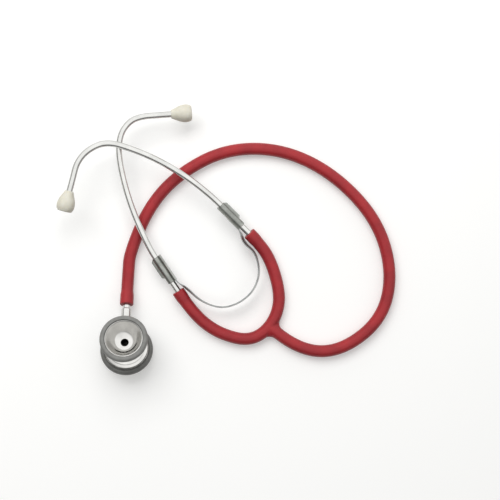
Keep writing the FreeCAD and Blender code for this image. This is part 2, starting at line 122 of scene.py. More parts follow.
sky_seen = add_node(tree, "ShaderNodeBackground", {"Color": (1, 1, 1, 1), "Strength": 1.0})
sky_mix = add_node(
    tree,
    "ShaderNodeMixShader",
    {0: seen.outputs["Is Camera Ray"], 1: sky_light.outputs[0], 2: sky_seen.outputs[0]},
)
add_node(tree, "ShaderNodeOutputWorld", {"Surface": sky_mix.outputs[0]})

lamp_data = bpy.data.lights.new("soft_lamp", "AREA")
lamp_data.shape = "RECTANGLE"
lamp_data.size = LAMP_WIDTH
lamp_data.size_y = LAMP_DEPTH
lamp_data.energy = LAMP_POWER
lamp = bpy.data.objects.new("soft_lamp", lamp_data)
lamp.location = LAMP_PLACE
lamp.rotation_euler = (Vector(LAMP_AIM) - Vector(LAMP_PLACE)).to_track_quat("-Z", "Y").to_euler()
lamp.visible_glossy = False
bpy.context.scene.collection.objects.link(lamp)

table_mesh = bpy.data.meshes.new("table")
table_corners = [(-1, -1), (1, -1), (1, 1), (-1, 1)]
table_places = [(x * TABLE_HALF, y * TABLE_HALF, -TABLE_DROP) for x, y in table_corners]
table_mesh.from_pydata(table_places, [], [(0, 1, 2, 3)])
table = bpy.data.objects.new("table", table_mesh)
bpy.context.scene.collection.objects.link(table)
laminate = bpy.data.materials.new("white_laminate")
laminate.use_nodes = True
tree = laminate.node_tree
tree.nodes.clear()
seen = add_node(tree, "ShaderNodeLightPath")
shown = add_node(
    tree,
    "ShaderNodeMath",
    {0: seen.outputs["Is Camera Ray"], 1: seen.outputs["Is Glossy Ray"]},
    operation="MAXIMUM",
)
shown = add_node(
    tree,
    "ShaderNodeMath",
    {0: shown.outputs[0], 1: seen.outputs["Is Transmission Ray"]},
    operation="MAXIMUM",
)
glow_level = add_node(tree, "ShaderNodeMath", {0: shown.outputs[0], 1: TABLE_GLOW}, operation="MULTIPLY")
matt = add_node(tree, "ShaderNodeBsdfDiffuse", {"Color": linear(TABLE_COLOUR)})
glow = add_node(tree, "ShaderNodeEmission", {"Strength": glow_level.outputs[0]})
both = add_node(tree, "ShaderNodeAddShader", {0: matt.outputs[0], 1: glow.outputs[0]})
add_node(tree, "ShaderNodeOutputMaterial", {"Surface": both.outputs[0]})
table_mesh.materials.append(laminate)

# The camera looks straight down from 1.1 m, as the photograph does, with 425 mm of the table across its
# square picture.
CAMERA_PLACE = (0.0759, -0.0085, 1.1)
PICTURE_WIDTH = 0.425
SENSOR_MM = 36.0
camera_data = bpy.data.cameras.new("camera")
camera_data.sensor_width = SENSOR_MM
camera_data.lens = SENSOR_MM * CAMERA_PLACE[2] / PICTURE_WIDTH
camera = bpy.data.objects.new("camera", camera_data)
camera.location = CAMERA_PLACE
bpy.context.scene.collection.objects.link(camera)
bpy.context.scene.camera = camera
bpy.context.scene.view_settings.view_transform = "Standard"

# The long tube: soft red vinyl, extruded about 10 mm across. It leaves the moulded Y, lies in one wide loop
# on the table, and its end is stretched over the barb of the chest piece's stem.
TUBE_R = 0.0051
MAIN_ROUTE = [
    (0.1013, -0.0804, 0.0051),
    (0.1193, -0.0940, 0.0051),
    (0.1532, -0.0942, 0.0051),
    (0.1879, -0.0671, 0.0051),
    (0.1965, -0.0266, 0.0051),
    (0.1828, 0.0183, 0.0051),
    (0.1455, 0.0569, 0.0051),
    (0.1020, 0.0772, 0.0051),
    (0.0554, 0.0770, 0.0051),
    (0.0156, 0.0560, 0.0051),
    (-0.0098, 0.0279, 0.0051),
    (-0.0259, -0.0114, 0.0051),
    (-0.0269, -0.0263, 0.0051),
    (-0.0279, -0.04096, 0.0051),
    (-0.0279, -0.05456, 0.01073),
]
STEM_FLARE = 0.0006
STEM_FLARE_LENGTH = 0.0125
FLARE_RAMP = 0.0045
BARB_POCKET_R = 0.0028
BARB_POCKET_DEPTH = 0.0083
MOUTH_EDGE = 0.0006
MOUTH_EDGE_RINGS = 7
RING_STEP = 0.0012
TUBE_SIDES = 48
ROUTE_FINENESS = 24
SHARP_EDGE = math.radians(35)
UPWARD = np.array([0.0, 0.0, 1.0])
MM_PER_M = 1000
CLOUD_DETAIL = 3.0
CLOUD_DEEP_AT = 0.35
CLOUD_PALE_AT = 0.65
FINE_DETAIL = 2.0


def spline_path(points):
    """The points along a smooth spline of order 3 that has these control points."""
    curve = bpy.data.curves.new("route", "CURVE")
    curve.dimensions = "3D"
    curve.resolution_u = ROUTE_FINENESS
    spline = curve.splines.new("NURBS")
    spline.points.add(len(points) - 1)
    for point, place in zip(spline.points, points):
        point.co = (*place, 1)
    spline.order_u = 3
    spline.use_endpoint_u = True
    holder = bpy.data.objects.new("route", curve)
    mesh = bpy.data.meshes.new_from_object(holder)
    path = np.array([vertex.co for vertex in mesh.vertices])
    bpy.data.meshes.remove(mesh)
    bpy.data.objects.remove(holder)
    bpy.data.curves.remove(curve)
    return path


def run_along(path):
    """How far along a path each of its points lies: the sum of the steps before it."""
    return np.concatenate([[0], np.cumsum(np.linalg.norm(np.diff(path, axis=0), axis=1))])


def directions(path, stations):
    """Middle, ahead, across and upright at distances along a path.

    Ahead is the path's slope, across is ahead x straight up, and upright is across x ahead.
    """
    run = run_along(path)
    slope = np.gradient(path, run, axis=0, edge_order=2)
    middle = np.stack([np.interp(stations, run, path[:, i]) for i in range(3)], axis=1)
    ahead = np.stack([np.interp(stations, run, slope[:, i]) for i in range(3)], axis=1)
    ahead /= np.linalg.norm(ahead, axis=1)[:, None]
    across = np.cross(ahead, UPWARD)
    across /= np.linalg.norm(across, axis=1)[:, None]
    return middle, ahead, across, np.cross(across, ahead)


def skin(name, rings, unbent, loop=False):
    """A closed surface of four-sided faces through rings of points.

    Point (i, j) is joined to (i + 1, j) and (i, j + 1). The first and last rings end in poles at their
    middles, or join each other where loop is true. unbent holds the same points as they are on the piece
    before it is bent, for the patterns to follow.
    """
    count, sides = rings.shape[:2]
    here = np.arange(count * sides).reshape(count, sides)
    beside = np.roll(here, -1, axis=1)
    ahead = np.roll(here, -1, axis=0)
    faces = np.stack([here, ahead, np.roll(ahead, -1, axis=1), beside], axis=-1)
    points = rings.reshape(-1, 3)
    flat = unbent.reshape(-1, 3)
    if loop:
        faces = faces.reshape(-1, 4).tolist()
    else:
        faces = faces[:-1].reshape(-1, 4).tolist()
        pole = np.full(sides, count * sides)
        faces += np.stack([pole, here[0], beside[0]], axis=-1).tolist()
        faces += np.stack([here[-1], pole + 1, beside[-1]], axis=-1).tolist()
        points = np.vstack([points, rings[[0, -1]].mean(axis=1)])
        flat = np.vstack([flat, unbent[[0, -1]].mean(axis=1)])
    mesh = bpy.data.meshes.new(name)
    mesh.from_pydata(points.tolist(), [], faces)
    attribute = mesh.attributes.new("unbent", "FLOAT_VECTOR", "POINT")
    attribute.data.foreach_set("vector", flat.astype(np.float32).ravel())
    mesh.shade_smooth()
    mesh.set_sharp_from_angle(angle=SHARP_EDGE)
    return mesh


def carried(name, path, stations, section, loop=False):
    """A section carried along a path: middle(i) + section(i, j, 0) across + section(i, j, 1) upright."""
    middle, _, across, upright = directions(path, stations)
    rings = middle[:, None] + section[..., :1] * across[:, None] + section[..., 1:] * upright[:, None]
    height = np.broadcast_to(stations[:, None, None], section.shape[:2] + (1,))
    return skin(name, rings, np.concatenate([section, height], axis=2), loop)


def circles(radii, sides):
    """One circle for each radius: (r cos a, r sin a) as a goes once round."""
    angle = np.linspace(0, 2 * math.pi, sides, endpoint=False)
    return np.asarray(radii)[:, None, None] * np.stack([np.cos(angle), np.sin(angle)], axis=1)


def ease(share):
    """A smooth step from 0 to 1: three of the share's squares less two of its cubes."""
    share = np.clip(share, 0, 1)
    return share * share * (3 - 2 * share)


def soft_tube(name, path, end, flare, flare_length, pocket_r, pocket_depth):
    """A tube from its mouth, at the path's start, to a flat end at a distance along the path.

    Its radius is the tubing's, and more by the flare up to the flare's length, eased over the ramp. The
    mouth has a rounded edge and a pocket for the metal that it grips.
    """
    turn = np.linspace(0, math.pi / 2, MOUTH_EDGE_RINGS)
    body_at = np.arange(MOUTH_EDGE + RING_STEP, end - RING_STEP / 2, RING_STEP)
    body_r = TUBE_R + flare * ease((flare_length - body_at) / FLARE_RAMP)
    edge_at = MOUTH_EDGE * (1 - np.cos(turn))
    edge_r = TUBE_R + flare - MOUTH_EDGE * (1 - np.sin(turn))
    stations = np.concatenate([[pocket_depth, 0], edge_at, body_at, [end]])
    radii = np.concatenate([[pocket_r, pocket_r], edge_r, body_r, [TUBE_R]])
    return carried(name, path, stations, circles(radii, TUBE_SIDES))


def show(mesh, material, nodes):
    """An object for a finished mesh, with its material, shown in place of the nodes it replaces, which are
    hidden.
    """
    made = bpy.data.objects.new(mesh.name, mesh)
    bpy.context.scene.collection.objects.link(made)
    mesh.materials.clear()
    mesh.materials.append(material)
    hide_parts(*nodes)
    return made


def soft_finish(name, deep, pale, cloud_mm, grain_mm, grain_depth_mm, roughness):
    """The material of a soft plastic or rubber, clouded and finely grained, and its shader."""
    made = bpy.data.materials.new(name)
    made.use_nodes = True
    tree = made.node_tree
    tree.nodes.clear()
    place = add_node(tree, "ShaderNodeTexCoord").outputs["Object"]
    cloud = add_node(
        tree,
        "ShaderNodeTexNoise",
        {"Vector": place, "Scale": MM_PER_M / cloud_mm, "Detail": CLOUD_DETAIL},
    )
    tone = add_node(
        tree,
        "ShaderNodeMapRange",
        {"Value": cloud.outputs["Fac"], "From Min": CLOUD_DEEP_AT, "From Max": CLOUD_PALE_AT},
    )
    colour = add_node(
        tree,
        "ShaderNodeMix",
        {0: tone.outputs["Result"], 6: linear(deep), 7: linear(pale)},
        data_type="RGBA",
    )
    grain = add_node(
        tree,
        "ShaderNodeTexNoise",
        {"Vector": place, "Scale": MM_PER_M / grain_mm, "Detail": FINE_DETAIL},
    )
    relief = add_node(
        tree,
        "ShaderNodeBump",
        {"Height": grain.outputs["Fac"], "Distance": grain_depth_mm / MM_PER_M, "Strength": 1.0},
    )
    shader = add_node(
        tree,
        "ShaderNodeBsdfPrincipled",
        {"Base Color": colour.outputs[2], "Normal": relief.outputs["Normal"], "Roughness": roughness},
    )
    add_node(tree, "ShaderNodeOutputMaterial", {"Surface": shader.outputs[0]})
    return made, shader


# Plasticised PVC, extruded: satin red, a little clouded, with a fine grain and faint draw lines along it.
# Both are drawn coarser than the real ones, so that they show.
VINYL_PALE = "#A4282D"
VINYL_DEEP = "#922228"
VINYL_CLOUD_MM = 15.0
VINYL_GRAIN_MM = 0.5
VINYL_GRAIN_DEPTH_MM = 0.012
VINYL_ROUGHNESS = 0.42
VINYL_SHINE = 0.38
DRAW_LINE_MM = 0.9
DRAW_LINE_STRETCH = 0.02
DRAW_LINE_DEPTH_MM = 0.010
vinyl, shader = soft_finish(
    "extruded_vinyl",
    VINYL_DEEP,
    VINYL_PALE,
    VINYL_CLOUD_MM,
    VINYL_GRAIN_MM,
    VINYL_GRAIN_DEPTH_MM,
    VINYL_ROUGHNESS,
)
tree = vinyl.node_tree
grain_relief = shader.inputs["Normal"].links[0].from_socket
along = add_node(tree, "ShaderNodeAttribute", attribute_name="unbent")
line_scale = MM_PER_M / DRAW_LINE_MM
drawn = add_node(
    tree,
    "ShaderNodeVectorMath",
    {0: along.outputs["Vector"], 1: (line_scale, line_scale, line_scale * DRAW_LINE_STRETCH)},
    operation="MULTIPLY",
)
lines = add_node(
    tree,
    "ShaderNodeTexNoise",
    {"Vector": drawn.outputs["Vector"], "Scale": 1.0, "Detail": FINE_DETAIL},
)
line_relief = add_node(
    tree,
    "ShaderNodeBump",
    {
        "Height": lines.outputs["Fac"],
        "Distance": DRAW_LINE_DEPTH_MM / MM_PER_M,
        "Strength": 1.0,
        "Normal": grain_relief,
    },
)
tree.links.new(line_relief.outputs["Normal"], shader.inputs["Normal"])
shader.inputs["Specular IOR Level"].default_value = VINYL_SHINE

main_path = spline_path(MAIN_ROUTE)
from_barb = main_path[::-1]
long_tube = show(
    soft_tube(
        "long_tube",
        from_barb,
        run_along(from_barb)[-1],
        STEM_FLARE,
        STEM_FLARE_LENGTH,
        BARB_POCKET_R,
        BARB_POCKET_DEPTH,
    ),
    vinyl,
    ["main_tube"],
)
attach(long_tube, "root")

# The branch tubes: the same vinyl, from the moulded Y to the ear tubes, which stand 8 mm deep in their
# mouths. One line runs through both and the Y's bend.
BRANCH_ROUTE = [
    (0.0152, -0.0431, 0.0090),
    (0.02655, -0.06018, 0.00704),
    (0.0440, -0.0760, 0.0051),
    (0.0660, -0.0842, 0.0051),
    (0.0803, -0.0832, 0.0051),
    (0.0918, -0.0746, 0.0051),
    (0.0992, -0.0615, 0.0051),
    (0.1012, -0.0455, 0.0051),
    (0.0951, -0.0218, 0.0051),
    (0.08632, -0.00545, 0.00617),
    (0.0751, 0.0056, 0.0090),
]
LEFT_CUT = (0.0740, -0.0838, 0.0051)
RIGHT_CUT = (0.1001, -0.0560, 0.0051)
SOCKET_FLARE = 0.00035
SOCKET_FLARE_LENGTH = 0.0110
SOCKET_R = 0.00262
SOCKET_DEPTH = 0.0081


def station_near(path, place):
    """The distance along a path of its point nearest to a place."""
    return run_along(path)[np.argmin(np.linalg.norm(path - np.array(place), axis=1))]


bend_path = spline_path(BRANCH_ROUTE)
left_cut = station_near(bend_path, LEFT_CUT)
right_cut = station_near(bend_path, RIGHT_CUT)
from_right = bend_path[::-1]
right_length = run_along(bend_path)[-1] - right_cut
branches = []
for name, path, length, node in [
    ("left_branch", bend_path, left_cut, "branch_tube_left"),
    ("right_branch", from_right, right_length, "branch_tube_right"),
]:
    mesh = soft_tube(name, path, length, SOCKET_FLARE, SOCKET_FLARE_LENGTH, SOCKET_R, SOCKET_DEPTH)
    branches.append(show(mesh, vinyl, [node]))
left_branch, right_branch = branches

# The moulded Y: three tubes run together in a mould, with rounded crotches that fade out towards the top
# and bottom, where the tubes are level with each other.
ARM_FOOT = (0.0923, -0.0736, 0.0051)
CROTCH = 0.0056
CROTCH_LEAST = 0.0002
BAR_SPARE = 0.0015
ARM_POINTS = 4
VOXEL = 0.00045
SETTLING_STEPS = 5
PROBE = 0.00002
LEAST_SLOPE = 0.05
Y_SHARP_EDGE = math.radians(50)


def distance_to(points, path):
    """The distance from each point to the nearest place on a run of straight steps."""
    step = path[1:] - path[:-1]
    gap = points[:, None] - path[None, :-1]
    share = np.clip((gap * step).sum(axis=2) / (step * step).sum(axis=1), 0, 1)
    return np.linalg.norm(gap - share[..., None] * step, axis=2).min(axis=1)


def y_surface(points):
    """How far points lie outside the Y.

    It is the smaller of the distances to the two bars, less a polynomial blend k h (1 - h), where k falls
    from the crotch's size at mid-height to almost nothing at the top and bottom and behind the arm.
    """
    bend_gap = distance_to(points, bend_part) - TUBE_R
    arm_gap = distance_to(points, arm_path) - TUBE_R
    height = np.clip(np.abs(points[:, 2] - TUBE_R) / TUBE_R, 0, 1)
    before = ease((points - arm_path[0]) @ arm_ahead / TUBE_R)
    reach = CROTCH * (1 - height**2) * before + CROTCH_LEAST
    share = np.clip(0.5 + 0.5 * (arm_gap - bend_gap) / reach, 0, 1)
    return arm_gap + (bend_gap - arm_gap) * share - reach * share * (1 - share)


bend_run = run_along(bend_path)
inside = (bend_run > left_cut - 2 * BAR_SPARE) & (bend_run < right_cut + 2 * BAR_SPARE)
bend_part = bend_path[inside]
arm_start = np.array(MAIN_ROUTE[0])
arm_ahead = directions(main_path, np.array([0.0]))[1][0]
arm_path = np.linspace(ARM_FOOT, arm_start + arm_ahead * BAR_SPARE, ARM_POINTS)
rough = bmesh.new()
for path in (bend_part, arm_path):
    reach = run_along(path)[-1]
    stations = np.linspace(0, reach, int(reach / RING_STEP) + 1)
    bar = carried("bar", path, stations, circles(np.full(len(stations), TUBE_R), TUBE_SIDES))
    rough.from_mesh(bar)
    bpy.data.meshes.remove(bar)
rough_mesh = bpy.data.meshes.new("rough_y")
rough.to_mesh(rough_mesh)
rough.free()
holder = bpy.data.objects.new("rough_y", rough_mesh)
bpy.context.scene.collection.objects.link(holder)
remesh = holder.modifiers.new("remesh", "REMESH")
remesh.mode = "VOXEL"
remesh.voxel_size = VOXEL
depsgraph = bpy.context.evaluated_depsgraph_get()
y_mesh = bpy.data.meshes.new_from_object(holder.evaluated_get(depsgraph))
bpy.data.objects.remove(holder)
bpy.data.meshes.remove(rough_mesh)
places = np.empty(len(y_mesh.vertices) * 3)
y_mesh.vertices.foreach_get("co", places)
places = places.reshape(-1, 3)
for _ in range(SETTLING_STEPS):
    gap = y_surface(places)
    steps = np.eye(3) * PROBE
    slope = np.stack([y_surface(places + axis) - y_surface(places - axis) for axis in steps], axis=1)
    slope /= 2 * PROBE
    move = gap[:, None] * slope / np.maximum((slope * slope).sum(axis=1), LEAST_SLOPE)[:, None]
    places -= np.clip(move, -VOXEL, VOXEL)
y_mesh.vertices.foreach_set("co", places.ravel())
shaped = bmesh.new()
shaped.from_mesh(y_mesh)
cut_at, cut_ahead, _, _ = directions(bend_path, np.array([left_cut, right_cut]))
for place, outwards in [(cut_at[0], -cut_ahead[0]), (cut_at[1], cut_ahead[1]), (arm_start, arm_ahead)]:
    everything = shaped.verts[:] + shaped.edges[:] + shaped.faces[:]
    trimmed = bmesh.ops.bisect_plane(
        shaped, geom=everything, plane_co=place, plane_no=outwards, clear_outer=True
    )
    rim = [edge for edge in trimmed["geom_cut"] if isinstance(edge, bmesh.types.BMEdge)]
    bmesh.ops.edgeloop_fill(shaped, edges=rim)
bmesh.ops.recalc_face_normals(shaped, faces=shaped.faces[:])
shaped.to_mesh(y_mesh)
shaped.free()
y_mesh.name = "moulded_y"
y_mesh.shade_smooth()
y_mesh.set_sharp_from_angle(angle=Y_SHARP_EDGE)
moulded_y = show(y_mesh, vinyl, ["y_junction"])
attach(moulded_y, "root")

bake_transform(left_branch)
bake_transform(right_branch)

# The ear tubes: metal tube 5.2 mm across, bent and chromed. Each stands straight in its clip, curves
# round to its tip and ends straight in it.
EAR_R = 0.0026
EAR_EDGE = 0.0003
EAR_SIDES = 40
LEFT_EAR_ROUTE = [
    (0.0196, -0.0497, 0.00824),
    (0.00087, -0.02155, 0.01147),
    (-0.0090, -0.0067, 0.01317),
    (-0.0245, 0.0290, 0.01690),
    (-0.0336, 0.0660, 0.02010),
    (-0.0331, 0.0865, 0.02170),
    (-0.0247, 0.0988, 0.02200),
    (-0.0140, 0.1029, 0.02104),
    (-0.00203, 0.10386, 0.02012),
    (0.01785, 0.10543, 0.01859),
]
RIGHT_EAR_ROUTE = [
    (0.0807, 0.00008, 0.00759),
    (0.0555, 0.0249, 0.01395),
    (0.0435, 0.0367, 0.01696),
    (0.0245, 0.0516, 0.0208),
    (0.0010, 0.0656, 0.0258),
    (-0.0215, 0.0751, 0.0293),
    (-0.0420, 0.0809, 0.0323),
    (-0.0570, 0.0748, 0.0339),
    (-0.0668, 0.0640, 0.0338),
    (-0.07036, 0.04984, 0.03305),
    (-0.07511, 0.03249, 0.03224),
]
SMEAR_DETAIL = 4.0
SMEAR_NONE_AT = 0.35
SMEAR_FULL_AT = 0.70


def metal_finish(name, deep, pale, smooth, smeared, smear_mm, line_mm, line_stretch, line_depth_mm):
    """A metal's finish: fine lines left by its making, and handling marks that dull it in places."""
    made = bpy.data.materials.new(name)
    made.use_nodes = True
    tree = made.node_tree
    tree.nodes.clear()
    place = add_node(tree, "ShaderNodeTexCoord").outputs["Object"]
    smear = add_node(
        tree,
        "ShaderNodeTexNoise",
        {"Vector": place, "Scale": MM_PER_M / smear_mm, "Detail": SMEAR_DETAIL},
    )
    gloss = add_node(
        tree,
        "ShaderNodeMapRange",
        {
            "Value": smear.outputs["Fac"],
            "From Min": SMEAR_NONE_AT,
            "From Max": SMEAR_FULL_AT,
            "To Min": smooth,
            "To Max": smeared,
        },
    )
    tone = add_node(
        tree,
        "ShaderNodeMapRange",
        {"Value": smear.outputs["Fac"], "From Min": SMEAR_NONE_AT, "From Max": SMEAR_FULL_AT},
    )
    colour = add_node(
        tree,
        "ShaderNodeMix",
        {0: tone.outputs["Result"], 6: linear(pale), 7: linear(deep)},
        data_type="RGBA",
    )
    along = add_node(tree, "ShaderNodeAttribute", attribute_name="unbent")
    across, lengthwise = [stretch * MM_PER_M / line_mm for stretch in line_stretch]
    drawn = add_node(
        tree,
        "ShaderNodeVectorMath",
        {0: along.outputs["Vector"], 1: (across, across, lengthwise)},
        operation="MULTIPLY",
    )
    lines = add_node(
        tree,
        "ShaderNodeTexNoise",
        {"Vector": drawn.outputs["Vector"], "Scale": 1.0, "Detail": FINE_DETAIL},
    )
    relief = add_node(
        tree,
        "ShaderNodeBump",
        {"Height": lines.outputs["Fac"], "Distance": line_depth_mm / MM_PER_M, "Strength": 1.0},
    )
    shader = add_node(
        tree,
        "ShaderNodeBsdfPrincipled",
        {
            "Base Color": colour.outputs[2],
            "Metallic": 1.0,
            "Roughness": gloss.outputs["Result"],
            "Normal": relief.outputs["Normal"],
        },
    )
    add_node(tree, "ShaderNodeOutputMaterial", {"Surface": shader.outputs[0]})
    return made


# Bright chromium plate on drawn tube: mirror-like, with finger marks and faint draw lines, which are drawn
# coarser than the real ones, so that they show.
EAR_CHROME_PALE = "#CDCDCA"
EAR_CHROME_DEEP = "#C0C0BD"
EAR_GLOSS = (0.09, 0.17)
EAR_SMEAR_MM = 11.0
EAR_LINE_MM = 0.6
ALONG = (1.0, 0.02)
EAR_LINE_DEPTH_MM = 0.0012
ear_chrome = metal_finish(
    "chromed_tube",
    EAR_CHROME_DEEP,
    EAR_CHROME_PALE,
    *EAR_GLOSS,
    EAR_SMEAR_MM,
    EAR_LINE_MM,
    ALONG,
    EAR_LINE_DEPTH_MM,
)
ear_ends = []
for side, route in [("left", LEFT_EAR_ROUTE), ("right", RIGHT_EAR_ROUTE)]:
    path = spline_path(route)
    reach = run_along(path)[-1]
    stations = np.concatenate(
        [[0], np.arange(EAR_EDGE, reach - EAR_EDGE, RING_STEP), [reach - EAR_EDGE, reach]]
    )
    radii = np.full(len(stations), EAR_R)
    radii[[0, -1]] = EAR_R - EAR_EDGE
    mesh = carried(f"{side}_ear_tube", path, stations, circles(radii, EAR_SIDES))
    ear_tube = show(mesh, ear_chrome, [f"ear_tube_{side}"])
    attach(ear_tube, f"{side}_ear")
    end = np.array(route[-1])
    ahead = end - np.array(route[-2])
    ear_ends.append((end, ahead / np.linalg.norm(ahead)))

# The ferrules: turned brass sleeves with shallow ribs, pressed on the ends of the ear tubes. The soft tips
# are pushed over them and hide them.
# Turned brass: warm yellow and satin, with the tool's rings round it, coarser than life so that they show.
BRASS_PALE = "#C9AE66"
BRASS_DEEP = "#A98C47"
BRASS_GLOSS = (0.22, 0.38)
BRASS_SMEAR_MM = 3.0
BRASS_LINE_MM = 0.3
AROUND = (0.02, 1.0)
BRASS_LINE_DEPTH_MM = 0.004


def coat(nodes, material):
    """Give the parts that are shown as they are this finish."""
    for node in nodes:
        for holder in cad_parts[node].material_slots:
            holder.material = material


brass = metal_finish(
    "turned_brass",
    BRASS_DEEP,
    BRASS_PALE,
    *BRASS_GLOSS,
    BRASS_SMEAR_MM,
    BRASS_LINE_MM,
    AROUND,
    BRASS_LINE_DEPTH_MM,
)
coat(["ear_ferrule_left", "ear_ferrule_right"], brass)

# The ear tips: soft ivory vinyl, dipped and trimmed, narrow at the tube and widest towards the ear, with a
# hole for the sound. The contour's points are a radius in mm and a share of the length.
TIP_LENGTH = 0.0174
TIP_BACK = 0.0080
TIP_CONTOUR = np.array([(3.3, 0), (4.9, 0.2), (6.6, 0.42), (7.4, 0.66), (6.9, 0.88), (4.6, 1.0)])
TIP_FIRST_SLOPE = (0.0022, 0.0030)
TIP_LAST_SLOPE = (-0.0050, 0.0)
TIP_HOLE_R = 0.0015
TIP_BORE_R = 0.00325
TIP_LIP_R = 0.00262
TIP_LIP = 0.0015
TIP_EDGE = 0.0004
TIP_SIDES = 72
# Dipped vinyl: a warm off-white that lets a little light in, nearly matt, with a fine grain.
IVORY_PALE = "#DAD7C9"
IVORY_DEEP = "#CFCBBB"
IVORY_CLOUD_MM = 7.0
IVORY_GRAIN_MM = 0.6
IVORY_GRAIN_DEPTH_MM = 0.010
IVORY_ROUGHNESS = 0.47
IVORY_SCATTER = 0.12
IVORY_SCATTER_MM = 1.2
IVORY_SCATTER_REACH = (1.0, 0.8, 0.5)
CONTOUR_STEPS = 8
CORNER_STEPS = 4
CORNER_POINTS = CORNER_STEPS + 1
CORNER_MIDDLE = CORNER_STEPS // 2
CORNER_SHARE = 0.45
NEARLY_UPRIGHT = 0.9


def softened(corners, radius):
    """A closed profile with its corners rounded.

    Each corner gives way to a quadratic curve between points at the radius, or at a share of the shorter
    side, before and after it.
    """
    corners = np.array(corners, float)
    back = np.roll(corners, 1, axis=0) - corners
    ahead = np.roll(corners, -1, axis=0) - corners
    back_length = np.linalg.norm(back, axis=1)
    ahead_length = np.linalg.norm(ahead, axis=1)
    reach = np.minimum(radius, CORNER_SHARE * np.minimum(back_length, ahead_length))[:, None]
    start = corners + back / back_length[:, None] * reach
    end = corners + ahead / ahead_length[:, None] * reach
    share = np.linspace(0, 1, CORNER_POINTS)[None, :, None]
    curve = (1 - share) ** 2 * start[:, None] + 2 * share * (1 - share) * corners[:, None]
    return (curve + share**2 * end[:, None]).reshape(-1, 2)


def through(points, first_slope, last_slope):
    """A smooth line through points: a cubic between each two.

    Its slope at a point is half the step between the two neighbours, and the given slope at either end.
    """
    slopes = np.gradient(points, axis=0)
    slopes[0], slopes[-1] = first_slope, last_slope
    share = np.linspace(0, 1, CONTOUR_STEPS + 1)[None, 1:, None]
    here, ahead = points[:-1, None], points[1:, None]
    out, into = slopes[:-1, None], slopes[1:, None]
    rise = share * share * (3 - 2 * share)
    line = here + (ahead - here) * rise + share * (1 - share) * ((1 - share) * out - share * into)
    return np.vstack([points[:1], line.reshape(-1, 2)])


def lathed(name, profile, origin, axis, sides, loop=False):
    """A profile of (radius, height) points turned about an axis.

    Point (i, j) is origin + height(i) axis + radius(i) (cos a(j) side + sin a(j) other side).
    """
    origin = np.array(origin)
    axis = np.array(axis) / np.linalg.norm(axis)
    across = np.cross(axis, (1.0, 0.0, 0.0) if abs(axis[2]) > NEARLY_UPRIGHT else UPWARD)
    across /= np.linalg.norm(across)
    other = np.cross(across, axis)
    profile = np.asarray(profile)
    section = circles(profile[:, 0], sides)
    middle = origin + profile[:, 1:] * axis
    rings = middle[:, None] + section[..., :1] * across + section[..., 1:] * other
    height = np.broadcast_to(profile[:, 1:, None], section.shape[:2] + (1,))
    return skin(name, rings, np.concatenate([section, height], axis=2), loop)


ivory, shader = soft_finish(
    "ivory_vinyl",
    IVORY_DEEP,
    IVORY_PALE,
    IVORY_CLOUD_MM,
    IVORY_GRAIN_MM,
    IVORY_GRAIN_DEPTH_MM,
    IVORY_ROUGHNESS,
)
shader.inputs["Subsurface Weight"].default_value = IVORY_SCATTER
shader.inputs["Subsurface Scale"].default_value = IVORY_SCATTER_MM / MM_PER_M
shader.inputs["Subsurface Radius"].default_value = IVORY_SCATTER_REACH
tip_curve = through(TIP_CONTOUR * (1 / MM_PER_M, TIP_LENGTH), TIP_FIRST_SLOPE, TIP_LAST_SLOPE)
tip_inside = [(TIP_HOLE_R + TIP_EDGE, TIP_LENGTH), (TIP_HOLE_R, TIP_LENGTH - TIP_EDGE)]
tip_bore_end = TIP_BACK + TIP_EDGE
tip_inside += [(TIP_HOLE_R, tip_bore_end), (TIP_BORE_R, tip_bore_end)]
tip_inside += [(TIP_BORE_R, TIP_LIP), (TIP_LIP_R, TIP_LIP)]
tip_profile = np.vstack([[(TIP_LIP_R, 0)], tip_curve, tip_inside])
for side, (end, ahead) in zip(("left", "right"), ear_ends):
    mesh = lathed(f"{side}_tip", tip_profile, end - ahead * TIP_BACK, ahead, TIP_SIDES, loop=True)
    tip = show(mesh, ivory, [f"ear_tip_{side}"])
    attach(tip, f"{side}_tip")

# The spring clips: sheet steel folded round the ear tube and the end of the leaf spring, its two edges
# pinched together on the outer side and cut off at a slant at both ends.
CLIP_START = 0.0090
CLIP_END = 0.0340
CLIP_R = 0.00332
CLIP_BORE_R = 0.00262
CLIP_EDGE = 0.0003
CLIP_WRAP = (0.0047, 0.0042)
CLIP_WRAP_HALF = 0.0043
CLIP_WRAP_ANGLE = math.radians(50)
PINCH_START = 0.0150
PINCH_END = 0.0335
PINCH_REACH = 0.0052
PINCH_HALF = 0.00095
PINCH_TAPER = 0.32
PINCH_SLANT = 0.0016
PINCH_WINDOW = math.radians(17)
LEAST_COSINE = 0.05
CLIP_STEP = 0.0004
CLIP_LINE_POINTS = 9
CLIP_ANGLE_SPANS = [(-17, 18, 1), (20, 124, 4), (124, 237, 2), (240, 341, 4)]


